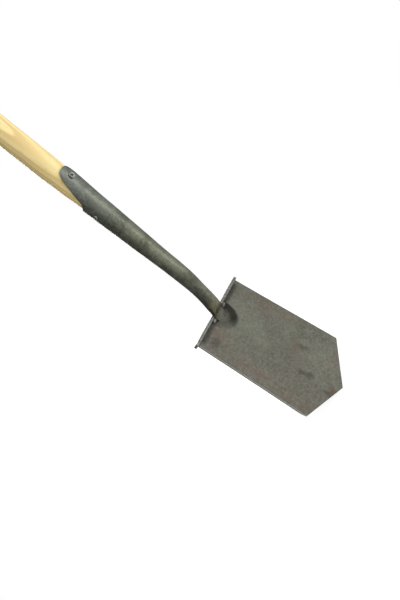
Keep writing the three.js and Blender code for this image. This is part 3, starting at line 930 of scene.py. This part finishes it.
woodLooks = {
    # pith is how far the tree's middle lies from the piece's own axis, and ring the growth rings' pitch
    "shaft_ash": {"pale": (249, 228, 163), "late": (216, 185, 121),
                  "pore": (176, 142, 86), "flush": (230, 202, 135),
                  "pith": (0.016, 0.050), "ring": 0.0042, "sway": 0.016, "roughness": 0.46, "along": "z"},
    "grip_wood": {"pale": (232, 216, 162), "late": (214, 195, 140),
                  "pore": (186, 162, 110), "flush": (223, 205, 150),
                  "pith": (0.010, 0.060), "ring": 0.0036, "sway": 0.008, "roughness": 0.5, "along": "x"},
    "wedge_wood": {"pale": (206, 176, 116), "late": (178, 144, 88),
                   "pore": (150, 116, 70), "flush": (192, 160, 100),
                   "pith": (0.030, 0.030), "ring": 0.0030, "sway": 0.004, "roughness": 0.6, "along": "z"},
}


def wood(name, mark=None):
    look, s = woodLooks[name], Shade(name)
    upright = look["along"] == "z"
    across, back = (s.x, s.y) if upright else (s.z, s.y)
    slow = (5, 5, 2.6) if upright else (6, 9, 9)
    longScale = (1100, 1100, 26) if upright else (26, 1100, 1100)
    streakScale = (260, 260, 7) if upright else (7, 260, 260)
    sway = s.cloud(1.0, 2, 0.4, s.stretched(slow, shift=(0.3, 0.1, 0.4)))
    side = across - look["pith"][0] + (sway - 0.5) * look["sway"]
    deep = back - look["pith"][1]
    wobble = s.cloud(60, 2, 0.5, s.stretched((1, 1, 0.15) if upright else (0.15, 1, 1)))
    reach = (side * side + deep * deep).root() + (sway - 0.5) * look["sway"] * 2.2 + (wobble - 0.5) * 0.0012
    ring = (reach / look["ring"]).fraction()
    late = ring.rise(0.25, 0.9) * ring.rise(1.0, 0.93)
    pores = s.cloud(1.0, 2, 0.6, s.stretched(longScale))
    streak = s.cloud(1.0, 3, 0.6, s.stretched(streakScale))
    broad = s.cloud(1.0, 2, 0.5, s.stretched((14, 14, 3) if upright else (3, 14, 14)))
    early = ring.rise(0.3, 0.02)
    pore = pores.rise(0.55, 0.68) * (early * 0.8 + 0.2)
    colour = s.mix(late * 0.75, tone(*look["pale"]), tone(*look["late"]))
    colour = s.mix(broad.rise(0.45, 0.7) * 0.5, colour, tone(*look["flush"]))
    colour = s.mix(streak.rise(0.5, 0.75) * 0.35, colour, tone(*look["late"]))
    colour = s.mix(pore * 0.6, colour, tone(*look["pore"]))
    depth = pore * -1.0 + late * 0.3 + streak * 0.2
    if mark:
        burnt = mark(s)
        colour = s.mix(burnt, colour, tone(*stampMark["ink"]))
        depth = depth - burnt * 1.5
    roughness = late * -0.06 + pore * 0.2 + streak * 0.08 + look["roughness"]
    relief = s.bump(depth, 0.00012, 0.55)
    return s.finish(colour=colour, roughness=roughness, metallic=0.0, normal=relief, specular=0.42)


# Burnt mark on the shaft: a plain double oval round a leaf sprig
stampMark = {
    "ink": (128, 92, 52), "below": 0.091, "halfWidth": 0.0112, "halfHeight": 0.0225,
    "outer": (0.93, 1.0), "inner": (0.74, 0.78), "fill": 0.26, "strength": 0.72,
    "stem": 0.00045, "stemHalf": 0.0130, "leaf": (0.0037, 0.0015),
    "pairs": 4, "leafPitch": 0.0062, "leafTurn": 38,
}


def leafStamp(s):
    m = stampMark
    middle = -ashShaft["collarDrop"] * mm - m["below"]
    up = s.z - middle

    def ellipse(across, height, halfAcross, halfHeight):
        wide, tall = across / halfAcross, height / halfHeight
        return (wide * wide + tall * tall).root()

    def band(value, low, high):
        return value.rise(low - 0.02, low + 0.01) * value.rise(high + 0.02, high - 0.01)

    oval = ellipse(s.x, up, m["halfWidth"], m["halfHeight"])
    drawn = band(oval, *m["outer"]).larger(band(oval, *m["inner"]))
    aside = s.x.absolute()
    stem = aside.rise(m["stem"] * 1.5, m["stem"] * 0.5)
    stem = stem * up.absolute().rise(m["stemHalf"] * 1.02, m["stemHalf"])
    drawn = drawn.larger(stem)
    turn = radians(m["leafTurn"])
    for i in range(m["pairs"]):
        height = (i - (m["pairs"] - 1) / 2) * m["leafPitch"]
        out, rise = aside - m["leaf"][0] * 0.85, up - height
        along = out * cos(turn) + rise * sin(turn)
        over = rise * cos(turn) - out * sin(turn)
        drawn = drawn.larger(ellipse(along, over, *m["leaf"]).rise(1.1, 0.85))
    tip = ellipse(s.x, up - m["stemHalf"], m["leaf"][1], m["leaf"][0])
    drawn = drawn.larger(tip.rise(1.1, 0.85))
    tint = oval.rise(1.0, 0.97) * m["fill"]
    uneven = s.cloud(700, 2, 0.6).rise(0.3, 0.62)
    onFront = s.y.rise(-0.002, -0.006)
    return (drawn * m["strength"] * (uneven * 0.5 + 0.5)).larger(tint) * onFront


print("spade: camera, light and floor")
makeCamera()
makeLights()
makeWorld()
makeFloor()
print("spade: steel head")
makeBlade(bladeSteel())
treadSteel = brightSteel("tread_steel")
for side in (-1, 1):
    makeTread(side, treadSteel)
makeSocket(socketScale())
makeWelds(brightSteel("weld_metal"))
makeRivets(brightSteel("rivet_steel"))
print("spade: ash handle")
makeShaft(wood("shaft_ash", leafStamp))
makeGrip(wood("grip_wood"))
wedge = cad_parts["tenon_wedge"]
wedge.data.materials.clear()
wedge.data.materials.append(wood("wedge_wood"))
